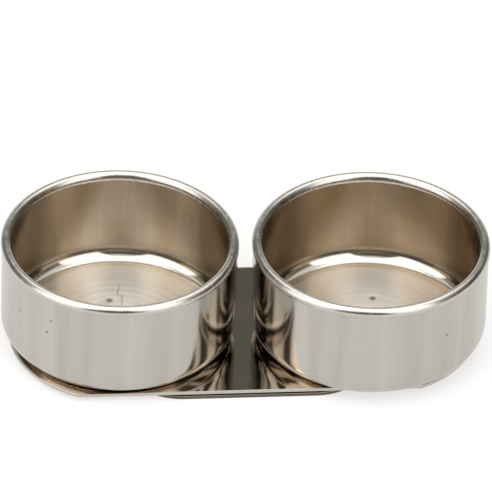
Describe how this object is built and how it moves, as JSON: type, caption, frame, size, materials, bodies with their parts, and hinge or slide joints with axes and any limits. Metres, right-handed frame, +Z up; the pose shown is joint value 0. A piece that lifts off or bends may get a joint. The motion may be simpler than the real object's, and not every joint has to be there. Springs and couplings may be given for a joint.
{
  "type": "double palette dipper",
  "caption": "Pair of small drawn steel cups with rolled rims on one long plate with rounded ends, whose folded tongue clips over the edge of a palette.",
  "frame": {"origin": "midway between the axes of the two cups, on the face that the part rests on", "axes": "+X along the row of cups, from the left cup to the right one; -Y to the front, where the clip opens; +Z up, out of the cups"},
  "size_m": [0.078, 0.038, 0.0192],
  "materials": {
    "cup_steel": "satin",
    "plate_steel": "bright rolled",
    "weld_steel": "heat-tinted"
  },
  "bodies": {
    "dipper": {"left_cup": "cup_steel", "right_cup": "cup_steel", "base_plate": "plate_steel", "left_welds": "weld_steel", "right_welds": "weld_steel"},
    "leaf": {"clip_leaf": "plate_steel"}
  },
  "joints": [
    {"name": "clip_flex", "type": "hinge", "parent": "dipper", "child": "leaf", "pos_m": [-0.00088, 0.01603, 0], "axis": [0.9985, 0.0541, 0], "range_deg": [0, 8], "stiffness_Nm_per_rad": 1.5}
  ]
}
